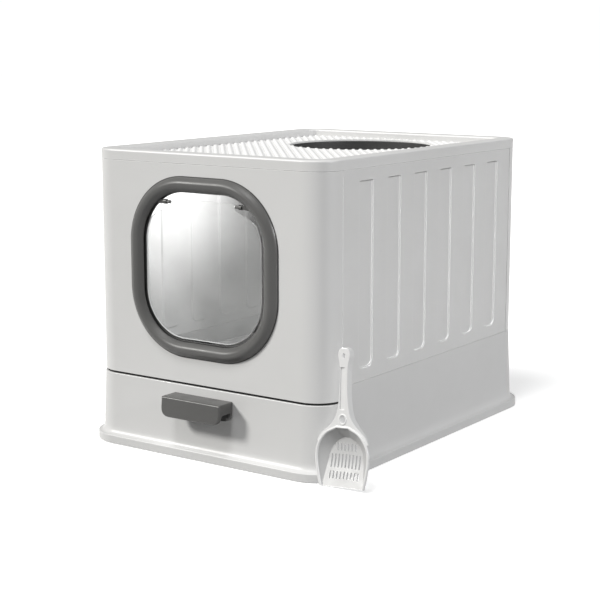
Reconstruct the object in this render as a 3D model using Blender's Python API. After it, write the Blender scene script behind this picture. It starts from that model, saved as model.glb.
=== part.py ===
"""Cat litter box with hood: front drawer, swinging door flap, lift-off perforated top, scoop.

Metres, +Z up, +X to the right, the door faces -Y. The origin is the middle of the body's
footprint on the floor.
"""
import math

import bmesh
import bpy
from mathutils import Matrix, Vector

# ---- driving dimensions (metres) -------------------------------------------------------------
HALF_W, HALF_D = 0.180, 0.243        # half width and half depth of the body walls
TOP_Z = 0.378                        # top of the rim
CORNER_R = 0.035                     # plan radius of the body corners
WALL = 0.0026                        # moulded wall thickness
GAP = 0.0003                         # fitting gap between pieces that touch
SEAM_Y = 0.2065                      # side seams, front and rear

BEND_Z = 0.109                       # line where the lower wall starts to flare
FLARE = 0.004                        # outward flare of the lower wall at its foot
FOOT_OUT = 0.012                     # foot flange overhang beyond the body walls
FOOT_H = 0.011                       # height of the flange's outer edge
FLOOR_T = 0.003                      # base floor thickness

DRAWER_TOP = 0.0908                  # top of the drawer front
HOOD_Z0 = 0.0935                     # lower edge of the front hood panel
SKIRT_Z = 0.3653                     # lower edge of the top cover's skirt

TRAY_HALF_W, TRAY_D0, TRAY_D1 = 0.163, -0.2365, 0.226
TRAY_Z0, TRAY_Z1, TRAY_T = 0.0078, 0.0880, 0.0026

DOOR_Z = 0.238                       # middle of the door opening
RING_HALF_W, RING_HALF_H, RING_R = 0.1140, 0.1115, 0.084
OPEN_HALF, OPEN_R = 0.0920, 0.062    # clear opening inside the surround
CUT_HALF, CUT_R = 0.0985, 0.0685     # hole in the front panel
RING_PROUD = 0.0095
PIVOT_Z, PIVOT_Y = 0.3175, -0.2415   # hinge axis of the flap
FLAP_T, FLAP_GAP = 0.0024, 0.0032

HANDLE_HALF, HANDLE_TOP, HANDLE_OUT = 0.0455, 0.0800, 0.030
HANDLE_LIP = 0.025

FLUTE_Z0, FLUTE_Z1, FLUTE_W, FLUTE_DEPTH = 0.125, 0.350, 0.030, 0.0030
FLUTE_PITCH, FLUTE_COUNT = 0.0626, 6
DECK_Z = 0.3685                      # top face of the step mat
RIM_IN = 0.023                       # rim width, from the body wall plane inward
EXIT_Y, EXIT_R = 0.108, 0.0975       # roof opening: middle and clear radius

WHITE, PALE = (0.80, 0.80, 0.78, 1), (0.84, 0.84, 0.83, 1)
GREY, STEEL = (0.105, 0.105, 0.10, 1), (0.55, 0.55, 0.56, 1)
CLEAR = (0.90, 0.94, 0.96, 0.35)


# ---- small geometry kit ----------------------------------------------------------------------
def clear_scene():
    for ob in list(bpy.data.objects):
        bpy.data.objects.remove(ob, do_unlink=True)


def material(name, colour, rough=0.45, metal=0.0):
    mat = bpy.data.materials.new(name)
    mat.use_nodes = True
    bsdf = mat.node_tree.nodes["Principled BSDF"]
    bsdf.inputs["Base Color"].default_value = colour
    bsdf.inputs["Roughness"].default_value = rough
    bsdf.inputs["Metallic"].default_value = metal
    mat.diffuse_color = colour
    return mat


def make(name, verts, faces, colour=WHITE, rough=0.45, metal=0.0, origin=(0, 0, 0)):
    """A mesh object whose faces all point outward, with its origin on the given point."""
    o = Vector(origin)
    mesh = bpy.data.meshes.new(name)
    mesh.from_pydata([Vector(v) - o for v in verts], [], faces)
    bm = bmesh.new()
    bm.from_mesh(mesh)
    bmesh.ops.remove_doubles(bm, verts=bm.verts, dist=1e-6)
    bmesh.ops.recalc_face_normals(bm, faces=bm.faces)
    if bm.calc_volume(signed=True) < 0:
        bmesh.ops.reverse_faces(bm, faces=bm.faces)
    bm.to_mesh(mesh)
    bm.free()
    ob = bpy.data.objects.new(name, mesh)
    ob.location = o
    bpy.context.scene.collection.objects.link(ob)
    ob.data.materials.append(material(name + "_mat", colour, rough, metal))
    return ob


def merge(parts):
    """Vertex and face lists of several separate solids, joined into one pair of lists."""
    verts, faces = [], []
    for v, f in parts:
        n = len(verts)
        verts += list(v)
        faces += [tuple(i + n for i in face) for face in f]
    return verts, faces


def box(x0, x1, y0, y1, z0, z1):
    v = [(x, y, z) for z in (z0, z1) for y in (y0, y1) for x in (x0, x1)]
    f = [(0, 2, 3, 1), (4, 5, 7, 6), (0, 1, 5, 4), (2, 6, 7, 3), (0, 4, 6, 2), (1, 3, 7, 5)]
    return v, f


def loft(loops, closed=False):
    """Skin equal-length loops; capped at both ends, or joined end to start when closed."""
    n, m = len(loops[0]), len(loops)
    verts = [p for loop in loops for p in loop]
    faces = []
    for k in range(m if closed else m - 1):
        a, b = k * n, ((k + 1) % m) * n
        for i in range(n):
            j = (i + 1) % n
            faces.append((a + i, a + j, b + j, b + i))
    if not closed:
        faces.append(tuple(range(n)))
        faces.append(tuple((m - 1) * n + i for i in reversed(range(n))))
    return verts, faces


def arc(cx, cy, r, a0, a1, n):
    return [(cx + r * math.cos(math.radians(a0 + (a1 - a0) * i / n)),
             cy + r * math.sin(math.radians(a0 + (a1 - a0) * i / n))) for i in range(n + 1)]


def rounded(hw, hh, r, n=6):
    """Closed outline of a rounded rectangle about the origin, anticlockwise."""
    pts = []
    for k, (sx, sy) in enumerate(((1, -1), (1, 1), (-1, 1), (-1, -1))):
        pts += arc(sx * (hw - r), sy * (hh - r), r, 90 * k - 90, 90 * k, n)
    return pts


def plan_path(start_y, end_y, front, n=6):
    """Points and outward normals round the front (or rear) half of the body plan."""
    s = -1 if front else 1
    cx, cy = HALF_W - CORNER_R, s * (HALF_D - CORNER_R)
    path = [((HALF_W, start_y), (1.0, 0.0))]
    for i in range(n + 1):
        a = math.radians(s * 90 * i / n)
        c, d = math.cos(a), math.sin(a)
        path.append(((cx + CORNER_R * c, cy + CORNER_R * d), (c, d)))
    for i in range(n + 1):
        a = math.radians(s * (90 + 90 * i / n))
        c, d = math.cos(a), math.sin(a)
        path.append(((-cx + CORNER_R * c, cy + CORNER_R * d), (c, d)))
    path.append(((-HALF_W, end_y), (-1.0, 0.0)))
    return path


def full_path(n=6):
    rear = plan_path(0.0, 0.0, False, n)
    front = plan_path(0.0, 0.0, True, n)
    return rear[1:-1] + list(reversed(front))[1:-1]


def sweep(path, profile, closed=False):
    """Sweep a closed (offset, z) profile along a path of (point, outward normal)."""
    loops = [[(p[0] + d[0] * o, p[1] + d[1] * o, z) for o, z in profile] for p, d in path]
    return loft(loops, closed)


def prism(outline, axis, a, b):
    """Extrude a 2-D outline along x, y or z between a and b."""
    put = {"x": lambda p, t: (t, p[0], p[1]), "y": lambda p, t: (p[0], t, p[1]),
           "z": lambda p, t: (p[0], p[1], t)}[axis]
    return loft([[put(p, a) for p in outline], [put(p, b) for p in outline]])


def turned(profile, cx, cy, n=48):
    """Turn a closed (radius, z) profile round a vertical line."""
    loops = []
    for i in range(n):
        a = 2 * math.pi * i / n
        loops.append([(cx + r * math.cos(a), cy + r * math.sin(a), z) for r, z in profile])
    return loft(loops, closed=True)


def rod(axis, centre, r, a, b, n=16, inner=None):
    """A round bar along x or y; with an inner radius it is a tube."""
    def at(rad, t):
        pts = []
        for i in range(n):
            q = 2 * math.pi * i / n
            u, v = centre[0] + rad * math.cos(q), centre[1] + rad * math.sin(q)
            pts.append((t, u, v) if axis == "x" else (u, t, v))
        return pts
    if inner is None:
        return loft([at(r, a), at(r, b)])
    return loft([at(r, a), at(r, b), at(inner, b), at(inner, a)], closed=True)


def boolean(ob, solid, mode):
    """Cut away or join a solid, given as vertex and face lists, with an exact Boolean."""
    tool = make(ob.name + "_tool", *solid)
    tool.hide_render = True
    tool.display_type = "WIRE"
    mod = ob.modifiers.new(mode.lower(), "BOOLEAN")
    mod.operation, mod.solver, mod.object = mode, "EXACT", tool
    with bpy.context.temp_override(object=ob, active_object=ob):
        bpy.context.view_layer.objects.active = ob
        bpy.ops.object.modifier_apply(modifier=mod.name)
    bpy.data.objects.remove(tool, do_unlink=True)


# ---- base and drawer -------------------------------------------------------------------------
def lower_profile(z_top, foot_z0, inner_z0):
    """Flared lower wall with a hollowed fillet and a foot flange, outside first."""
    flare_top = min(z_top, BEND_Z)
    k = FLARE / (BEND_Z - 0.016)
    outer = [(FOOT_OUT, foot_z0), (FOOT_OUT, FOOT_H - 0.001), (FOOT_OUT - 0.001, FOOT_H),
             (0.0082, FOOT_H + 0.0004), (0.0060, 0.0124), (0.0046, 0.0142), (FLARE, 0.0168)]
    outer.append(((BEND_Z - flare_top) * k, z_top))
    inner = [(-WALL, z_top), (-WALL, inner_z0)]
    return outer + inner


def base_tub():
    path = plan_path(-SEAM_Y, -SEAM_Y, False)
    ob = make("base_tub", *sweep(path, lower_profile(BEND_Z, 0.0, 0.0)), PALE)
    x, y1, rf = HALF_W - 0.001, HALF_D - 0.001, CORNER_R - WALL - 0.001
    cx, cy = HALF_W - CORNER_R, HALF_D - CORNER_R
    floor = arc(-cx, -cy, rf, 180, 270, 6) + arc(cx, -cy, rf, 270, 360, 6)
    floor += [(cx + rf, -SEAM_Y), (x, -SEAM_Y)]
    floor += arc(x - 0.034, y1 - 0.034, 0.034, 0, 90, 6)
    floor += arc(-x + 0.034, y1 - 0.034, 0.034, 90, 180, 6) + [(-x, -SEAM_Y), (-cx - rf, -SEAM_Y)]
    boolean(ob, prism(floor, "z", 0.0, FLOOR_T), "UNION")


def runners():
    for side, s in (("left", -1), ("right", 1)):
        a, b = sorted((s * 0.138, s * 0.146))
        v, f = box(a, b, -0.205, 0.205, FLOOR_T + GAP, TRAY_Z0 - GAP)
        make("runner_" + side, v, f, PALE)


def drawer():
    t, r = TRAY_T, 0.022
    cy, hd = (TRAY_D0 + TRAY_D1) / 2, (TRAY_D1 - TRAY_D0) / 2

    def loop(off, z):
        return [(x, y + cy, z) for x, y in rounded(TRAY_HALF_W + off, hd + off, r + off, 4)]
    loops = [loop(-0.004, TRAY_Z0), loop(-0.001, TRAY_Z0 + 0.003), loop(0.0, TRAY_Z1 - 0.004),
             loop(0.0026, TRAY_Z1 - 0.004), loop(0.0026, TRAY_Z1), loop(-t, TRAY_Z1),
             loop(-t - 0.001, TRAY_Z0 + 0.0056), loop(-t - 0.004, TRAY_Z0 + 0.0030)]
    make("drawer_tray", *loft(loops), PALE)

    profile = lower_profile(DRAWER_TOP, 0.0008, 0.0008)
    path = plan_path(-SEAM_Y - GAP - 0.0005, -SEAM_Y - GAP - 0.0005, True)
    make("drawer_front", *sweep(path, profile), WHITE)


def front_y(z):
    """Front face of the flared drawer front at a height."""
    return -HALF_D - FLARE * (BEND_Z - z) / (BEND_Z - 0.0168)


def handle():
    """A hooded bar: top, front lip and ends round a finger hollow that is open below."""
    y1, t, top, w = -HALF_D - HANDLE_OUT, 0.0032, HANDLE_TOP, HANDLE_HALF
    z0 = top - HANDLE_LIP

    def face(half, z_top, z_low, r):
        pts = [(half, z_top), (half, z_low + r)]
        for a in (22.5, 45, 67.5, 90):
            c, d = math.cos(math.radians(a)), math.sin(math.radians(a))
            pts.append((half - r + r * c, z_low + r - r * d))
        return pts + [(-x, z) for x, z in reversed(pts)]

    def lip(pts, inset):
        return [(x, y1 + inset + (z - z0) * 0.1, z) for x, z in pts]

    def back(pts, out):
        return [(x, front_y(z) - GAP - out, z) for x, z in pts]
    outer = face(w, top, z0, 0.012)
    ob = make("drawer_handle", *loft([back(outer, 0.0), lip(outer, 0.0)]), GREY, 0.4)
    cut = face(w - t, top - t, z0 - 0.02, 0.008)
    boolean(ob, loft([back(cut, t), lip(cut, t)]), "DIFFERENCE")
    for side, s in (("left", -1), ("right", 1)):
        screw = screw_solid(s * 0.030, 0.0680, -HALF_D + WALL + GAP)
        make("handle_screw_" + side, *screw, STEEL, 0.3, 0.9)


def screw_solid(x, z, y):
    """Screw head behind the drawer front, a stepped turned shape along y."""
    rings = [(0.0030, y), (0.0030, y + 0.0010), (0.0018, y + 0.0022), (0.0008, y + 0.0022),
             (0.0008, y + 0.0012)]
    loops = []
    for r, yy in rings:
        loops.append([(x + r * math.cos(math.pi * i / 6), yy, z + r * math.sin(math.pi * i / 6))
                      for i in range(12)])
    return loft(loops)


# ---- hood ------------------------------------------------------------------------------------
def hood_panels():
    z1 = SKIRT_Z - GAP
    wall = [(0.0, HOOD_Z0), (0.0, z1), (-WALL, z1), (-WALL, HOOD_Z0)]
    y = -SEAM_Y - GAP - 0.0005
    ob = make("hood_front", *sweep(plan_path(y, y, True), wall), WHITE)
    hole = [(x, z + DOOR_Z) for x, z in rounded(CUT_HALF, CUT_HALF, CUT_R, 6)]
    boolean(ob, prism(hole, "y", -HALF_D - 0.01, -HALF_D + 0.01), "DIFFERENCE")
    low = BEND_Z + GAP
    wall = [(0.0, low), (0.0, z1), (-WALL, z1), (-WALL, low)]
    make("hood_rear", *sweep(plan_path(-y, -y, False), wall), WHITE)
    side_panel("hood_right", 1, z1, low)
    side_panel("hood_left", -1, z1, low)


def flute_outline(yc, grow):
    """Pocket outline in (y, z): square shoulders above, rounded corners below."""
    h, r = FLUTE_W / 2 + grow, 0.008 + grow
    z0, z1 = FLUTE_Z0 - grow, FLUTE_Z1 + grow
    low = arc(yc - h + r, z0 + r, r, 180, 270, 3) + arc(yc + h - r, z0 + r, r, 270, 360, 3)
    return low + arc(yc + h - 0.002, z1 - 0.002, 0.002, 0, 90, 1) + \
        arc(yc - h + 0.002, z1 - 0.002, 0.002, 90, 180, 1)


def side_panel(name, s, z1, low):
    """A side wall whose six flutes are pressed inward, so the wall keeps its thickness."""
    x0, y = HALF_W, SEAM_Y
    a, b = sorted((s * (x0 - WALL), s * x0))
    ob = make(name, *box(a, b, -y, y, low, z1), WHITE)
    mid = [(i - (FLUTE_COUNT - 1) / 2) * FLUTE_PITCH for i in range(FLUTE_COUNT)]

    def flare(yc, depths, grows):
        loops = []
        for d, g in zip(depths, grows):
            loops.append([(s * (x0 - d), p[0], p[1]) for p in flute_outline(yc, g)])
        return loft(loops)
    back = FLUTE_DEPTH + WALL
    bosses = merge([flare(m, (WALL / 2, back), (0.0028, 0.0012)) for m in mid])
    boolean(ob, bosses, "UNION")
    cuts = merge([flare(m, (-0.002, FLUTE_DEPTH), (0.0007, -0.0011)) for m in mid])
    boolean(ob, cuts, "DIFFERENCE")


def clips():
    """Inner straps across the seams, a boss on each side of the seam."""
    for fy, front in ((-1, "front"), (1, "rear")):
        for sx, side in ((-1, "left"), (1, "right")):
            x = HALF_W - WALL - GAP
            a, b = sorted((sx * (x - 0.0028), sx * x))
            c, d = sorted((fy * (SEAM_Y - 0.009), fy * (SEAM_Y - 0.0015 + 0.0045)))
            make("clip_" + front + "_" + side, *box(a, b, c, d, 0.205, 0.260), PALE)


# ---- top -------------------------------------------------------------------------------------
def top():
    z, s = TOP_Z, SKIRT_Z
    profile = [(0.0010, s), (0.0010, z - 0.0036), (0.0004, z - 0.0014), (-0.0010, z - 0.0003),
               (-0.0028, z), (-0.0190, z), (-0.0212, z - 0.0006), (-0.0226, z - 0.0020),
               (-RIM_IN, z - 0.0042), (-RIM_IN, 0.3660), (-0.0300, 0.3660), (-0.0300, 0.3630),
               (-0.0057, 0.3630), (-0.0057, 0.3540), (-WALL - GAP - 0.0002, 0.3540),
               (-WALL - GAP - 0.0002, s)]
    make("top_cover", *sweep(full_path(), profile, closed=True), WHITE)
    half = (HALF_W - RIM_IN - GAP, HALF_D - RIM_IN - GAP)
    plate = prism(rounded(half[0], half[1], CORNER_R - RIM_IN - GAP, 4), "z", 0.3660 + GAP, DECK_Z)
    ob = make("step_mat", *plate, WHITE, 0.5)
    hole = [(x, y + EXIT_Y) for x, y in arc(0, 0, EXIT_R + 0.0005, 0, 360, 48)[:-1]]
    boolean(ob, prism(hole, "z", 0.35, 0.39), "DIFFERENCE")
    r = EXIT_R
    ring = [(r, 0.3430), (r, 0.3655), (r + 0.0005, 0.3660), (r + 0.0064, 0.3660),
            (r + 0.0064, 0.3640), (r + 0.0026, 0.3636), (r + 0.0024, 0.3430)]
    make("roof_collar", *turned(ring, 0.0, EXIT_Y), GREY, 0.5)


# ---- door ------------------------------------------------------------------------------------
def door_loop(hw, hh, r, y):
    return [(x, y, z + DOOR_Z) for x, z in rounded(hw, hh, r, 8)]


def door():
    y = -HALF_D - GAP
    w, h, r, p = RING_HALF_W, RING_HALF_H, RING_R, RING_PROUD
    o, q = OPEN_HALF, OPEN_R
    loops = [door_loop(w, h, r, y), door_loop(w, h, r, y - 0.004),
             door_loop(w - 0.0030, h - 0.0030, r - 0.003, y - p + 0.0016),
             door_loop(w - 0.0072, h - 0.0064, r - 0.007, y - p),
             door_loop(o + 0.0062, o + 0.0062, q + 0.006, y - p + 0.0004),
             door_loop(o + 0.0016, o + 0.0016, q + 0.002, y - p + 0.0036), door_loop(o, o, q, y)]
    make("door_ring_outer", *loft(loops, closed=True), GREY, 0.35)
    y = -HALF_D + WALL + GAP
    loops = [door_loop(w - 0.004, h - 0.004, r - 0.004, y),
             door_loop(w - 0.004, h - 0.004, r - 0.004, y + 0.003),
             door_loop(w - 0.007, h - 0.007, r - 0.007, y + 0.0055),
             door_loop(o + 0.003, o + 0.003, q + 0.003, y + 0.0055),
             door_loop(o, o, q, y + 0.003), door_loop(o, o, q, y)]
    make("door_ring_inner", *loft(loops, closed=True), GREY, 0.4)
    for side, s in (("left", -1), ("right", 1)):
        a, b = sorted((s * 0.0555, s * 0.0605))
        boss = rod("x", (PIVOT_Y, PIVOT_Z), 0.0037, a, b, 16, 0.0024)
        ob = make("pivot_boss_" + side, *boss, GREY, 0.4)
        a, b = sorted((s * 0.0597, s * 0.0695))
        tab = box(a, b, -HALF_D + 0.00005, -HALF_D + WALL - 0.00005, PIVOT_Z - 0.0031, PIVOT_Z + 0.0031)
        boolean(ob, tab, "UNION")
        a, b = sorted((s * 0.0500, s * 0.0593))
        pin = rod("x", (PIVOT_Y, PIVOT_Z), 0.0020, a, b, 12)
        make("flap_pin_" + side, *pin, GREY, 0.4, 0.0, (0, PIVOT_Y, PIVOT_Z))
    flap()


def flap():
    """Clear sheet: follows the opening below, with shoulders cut in under the pivots."""
    g, half = FLAP_GAP, OPEN_HALF - FLAP_GAP
    r = OPEN_R - g
    low = arc(-half + r, DOOR_Z - half + r, r, 180, 270, 8)
    low += arc(half - r, DOOR_Z - half + r, r, 270, 360, 8)
    top_arc = arc(half - r, DOOR_Z + half - r, r, 0, 30, 4)
    shoulder = [(0.0755, 0.3010), (0.0700, 0.3040), (0.0615, 0.3075), (0.0560, 0.3107),
                (0.0525, 0.3117), (0.0497, 0.3127), (0.0497, 0.3213)]
    up = top_arc + shoulder
    outline = low + up + [(-x, z) for x, z in reversed(up)]
    y0, y1 = PIVOT_Y - FLAP_T / 2, PIVOT_Y + FLAP_T / 2
    ob = make("door_flap", *prism(outline, "y", y0, y1), CLEAR, 0.08, 0.0, (0, PIVOT_Y, PIVOT_Z))
    ob.active_material.node_tree.nodes["Principled BSDF"].inputs["Alpha"].default_value = 0.35


# ---- scoop -----------------------------------------------------------------------------------
def scoop():
    """Slotted basket with raised sides and a channelled handle, stood on its lip."""
    t = 0.0022
    low = [(0.0298, 0.0, 0.0012), (0.0284, 0.0150, 0.0052), (0.0262, 0.0320, 0.0092),
           (0.0228, 0.0470, 0.0108), (0.0165, 0.0570, 0.0112), (0.0062, 0.0630, 0.0112)]
    rim = [(0.0304, 0.0), (0.0340, 0.0160), (0.0364, 0.0345), (0.0342, 0.0515),
           (0.0246, 0.0660), (0.0092, 0.0745)]

    def both(pts):
        return [(-p[0],) + p[1:] for p in pts] + list(reversed(pts))

    def inset(x, z):
        return x * (1 - t / abs(x)), z - (t if z > 0.05 else 0.0)
    back = [(x, d + t, z) for x, z, d in both(low)]
    out = [(x, 0.0, z) for x, z in both(rim)]
    inn = [(inset(x, z)[0], 0.0, inset(x, z)[1]) for x, z in both(rim)]
    flat = [(inset(x, z)[0], d, inset(x, z)[1]) for x, z, d in both(low)]
    n = len(back)
    verts, faces = back + out + inn + flat, []
    for i in range(n - 1):
        for a in (0, 1, 2):
            faces.append((a * n + i, a * n + i + 1, (a + 1) * n + i + 1, (a + 1) * n + i))
    for i in range(n // 2 - 1):
        j = n - 1 - i
        faces.append((i, i + 1, j - 1, j))
        faces.append((3 * n + i, 3 * n + j, 3 * n + j - 1, 3 * n + i + 1))
    faces.append((0, n, 2 * n, 3 * n))
    faces.append((n - 1, 4 * n - 1, 3 * n - 1, 2 * n - 1))
    faces.append((0, 3 * n, 4 * n - 1, n - 1))
    ob = make("scoop", verts, faces, PALE, 0.4)
    slots = []
    for z0, z1, count in ((0.0095, 0.0195, 9), (0.0230, 0.0405, 9), (0.0440, 0.0535, 6)):
        for i in range(count):
            x = (i - (count - 1) / 2) * 0.0048
            slots.append(prism([(x - 0.0011, z0), (x + 0.0011, z0), (x + 0.0011, z1),
                                (x - 0.0011, z1)], "y", 0.0012, 0.0200))
    boolean(ob, merge(slots), "DIFFERENCE")
    stem = [(0.0236, 0.0655), (0.0185, 0.0722), (0.0140, 0.0782), (0.0098, 0.0870),
            (0.0066, 0.0990), (0.0054, 0.1150), (0.0054, 0.1480), (0.0072, 0.1570),
            (0.0080, 0.1625), (0.0068, 0.1680), (0.0035, 0.1712)]
    stem = stem + [(-x, z) for x, z in reversed(stem)]
    bar = make("stem", *prism(stem, "y", 0.0004, 0.0112), PALE)
    holes = []
    for z, rx, rz in ((0.0815, 0.0028, 0.0042), (0.1612, 0.0018, 0.0030)):
        ring = [(rx * math.cos(math.pi * i / 6), z + rz * math.sin(math.pi * i / 6)) for i in range(12)]
        holes.append(prism(ring, "y", -0.0100, 0.0300))
    boolean(bar, merge(holes), "DIFFERENCE")
    groove = [(0.0034, 0.0930), (0.0030, 0.1150), (0.0030, 0.1480), (-0.0030, 0.1480),
              (-0.0030, 0.1150), (-0.0034, 0.0930)]
    boolean(bar, prism(groove, "y", -0.0100, 0.0045), "DIFFERENCE")
    solid = [v.co.copy() for v in bar.data.vertices], [tuple(f.vertices) for f in bar.data.polygons]
    bpy.data.objects.remove(bar, do_unlink=True)
    boolean(ob, solid, "UNION")
    skew = Matrix(((1, 0, -0.038, 0), (0, 1, 0, 0), (0, 0, 0.945, 0), (0, 0, 0, 1)))
    lean = Matrix.Rotation(math.radians(-11.0), 4, "X") @ Matrix.Rotation(math.radians(-4.0), 4, "Y")
    ob.data.transform(lean @ skew)
    foot = min(v.co.z for v in ob.data.vertices)
    ob.data.transform(Matrix.Translation((0.2085, -0.2512, 0.0003 - foot)))


def build():
    clear_scene()
    base_tub()
    runners()
    drawer()
    handle()
    hood_panels()
    clips()
    top()
    door()
    scoop()


build()
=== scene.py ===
import math

import bmesh
import bpy
from mathutils import Matrix, Vector
from mathutils.geometry import delaunay_2d_cdt


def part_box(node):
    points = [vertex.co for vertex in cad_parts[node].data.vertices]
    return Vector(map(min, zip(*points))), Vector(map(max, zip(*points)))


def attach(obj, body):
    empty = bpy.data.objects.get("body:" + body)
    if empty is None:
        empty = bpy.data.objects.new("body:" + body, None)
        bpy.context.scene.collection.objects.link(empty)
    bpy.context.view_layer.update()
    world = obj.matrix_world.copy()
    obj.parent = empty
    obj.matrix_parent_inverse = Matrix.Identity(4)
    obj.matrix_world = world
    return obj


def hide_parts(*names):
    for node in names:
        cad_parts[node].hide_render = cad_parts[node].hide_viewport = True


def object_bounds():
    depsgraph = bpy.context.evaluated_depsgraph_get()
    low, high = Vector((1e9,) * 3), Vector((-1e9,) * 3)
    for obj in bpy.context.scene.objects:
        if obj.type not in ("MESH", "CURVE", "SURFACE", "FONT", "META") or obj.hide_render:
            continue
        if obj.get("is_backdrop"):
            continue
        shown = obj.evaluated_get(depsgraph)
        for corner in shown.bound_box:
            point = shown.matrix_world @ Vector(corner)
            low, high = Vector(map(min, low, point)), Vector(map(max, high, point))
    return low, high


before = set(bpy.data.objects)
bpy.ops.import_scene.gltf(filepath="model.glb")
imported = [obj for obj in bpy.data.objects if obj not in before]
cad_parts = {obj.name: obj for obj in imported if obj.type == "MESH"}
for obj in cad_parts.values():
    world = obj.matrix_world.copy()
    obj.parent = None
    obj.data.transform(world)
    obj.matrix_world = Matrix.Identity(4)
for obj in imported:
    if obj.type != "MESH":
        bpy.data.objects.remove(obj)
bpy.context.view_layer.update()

# ---- places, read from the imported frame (metres) ----------------------------------------------
hood_lo, hood_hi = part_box("hood_front")
rear_lo, rear_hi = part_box("hood_rear")
side_lo, side_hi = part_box("hood_right")
base_lo, base_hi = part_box("base_tub")
front_lo, front_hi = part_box("drawer_front")
tray_lo, tray_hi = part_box("drawer_tray")
grip_lo, grip_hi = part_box("drawer_handle")
top_lo, top_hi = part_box("top_cover")
mat_lo, mat_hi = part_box("step_mat")
collar_lo, collar_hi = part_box("roof_collar")
ring_lo, ring_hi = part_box("door_ring_outer")
inner_lo, inner_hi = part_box("door_ring_inner")
flap_lo, flap_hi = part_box("door_flap")
scoop_lo, scoop_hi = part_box("scoop")

HALF_W, HALF_D = hood_hi.x, -hood_lo.y
CORNER_R = 0.035                        # plan radius of the body corners
WALL = 0.0026                           # moulded wall thickness
SEAM_Y = side_hi.y                      # upright seams of the side panels
BEND_Z, FOOT_H = base_hi.z, 0.011       # where the lower wall starts to flare; foot flange edge
FOOT_OUT, FLARE = base_hi.x - HALF_W, 0.004
DOOR_Z = (ring_lo.z + ring_hi.z) / 2
RING_W, RING_H, RING_R = ring_hi.x - 0.0010, (ring_hi.z - ring_lo.z) / 2, 0.084
OPEN_HALF, OPEN_R = 0.0920, 0.062       # clear opening inside the surround
PIVOT_Y, PIVOT_Z = (flap_lo.y + flap_hi.y) / 2, 0.3175
EXIT_Y = (collar_lo.y + collar_hi.y) / 2
EXIT_R = (collar_hi.x - collar_lo.x) / 2 - 0.0064
GAP = 0.0003                            # clearance between fitted pieces
LIP_DROP = 0.0042                       # how far the hood's inner lip hangs behind the drawer wall

# ---- light and camera settings ------------------------------------------------------------------
CABIN, GLOW = 6.6, 0.40                 # lamp in the cabin (watts), and the floor's own glow
SKY, KEY, FILL, OVERHEAD = 0.21, 1.09, 0.67, 0.40
SKY_SEEN = 1.02                         # strength of the sky where the camera sees it directly
RAKE = FILL * 0.92 / 0.70               # the side walls' own lamp
LENS, SENSOR = 89.29, 36.0              # millimetres
CAMERA_AT = (1.1220080, -1.6328735, 0.5213369)
CAMERA_PITCH, CAMERA_YAW = 0.1779061, 0.6129385
WELD_GAP, SLIVER = 0.00004, 0.00002     # points this close merge, and edges this short go


# ---- materials --------------------------------------------------------------------------------
class Graph:
    """A small node-tree builder: call it with a node type, its sockets and its settings."""

    def __init__(self, name):
        self.mat = bpy.data.materials.new(name)
        self.mat.use_nodes = True
        self.tree = self.mat.node_tree
        self.bsdf = self.tree.nodes["Principled BSDF"]

    def __call__(self, kind, sockets=None, **settings):
        node = self.tree.nodes.new("ShaderNode" + kind)
        for key, value in settings.items():
            setattr(node, key, value)
        for key, value in (sockets or {}).items():
            self.put(node.inputs[key], value)
        return node

    def put(self, socket, value):
        if isinstance(value, bpy.types.NodeSocket):
            self.tree.links.new(value, socket)
        else:
            socket.default_value = value

    def math(self, op, a, b=0.0, c=0.0, clamp=False):
        return self("Math", {0: a, 1: b, 2: c}, operation=op, use_clamp=clamp).outputs[0]

    def mix(self, factor, a, b):
        node = self("Mix", {0: factor, 6: a, 7: b}, data_type="RGBA")
        return node.outputs[2]

    def noise(self, where, scale, detail=2.0, rough=0.5):
        node = self("TexNoise", {"Vector": where, "Scale": scale, "Detail": detail, "Roughness": rough})
        return node.outputs["Fac"]

    def span(self, value, lo, hi, to_lo=0.0, to_hi=1.0):
        node = self("MapRange", {0: value, 1: lo, 2: hi, 3: to_lo, 4: to_hi})
        return node.outputs[0]


def stretch(g, where, sx, sy, sz):
    return g("Mapping", {"Vector": where, "Scale": (sx, sy, sz)}).outputs[0]


def edges(g, radius):
    """1 on the sharp edges of the shape and 0 on its faces."""
    bevel = g("Bevel", {"Radius": radius}, samples=4).outputs[0]
    true = g("NewGeometry").outputs["Normal"]
    dot = g("VectorMath", {0: bevel, 1: true}, operation="DOT_PRODUCT").outputs["Value"]
    return g.span(dot, 0.995, 0.90)


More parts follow.
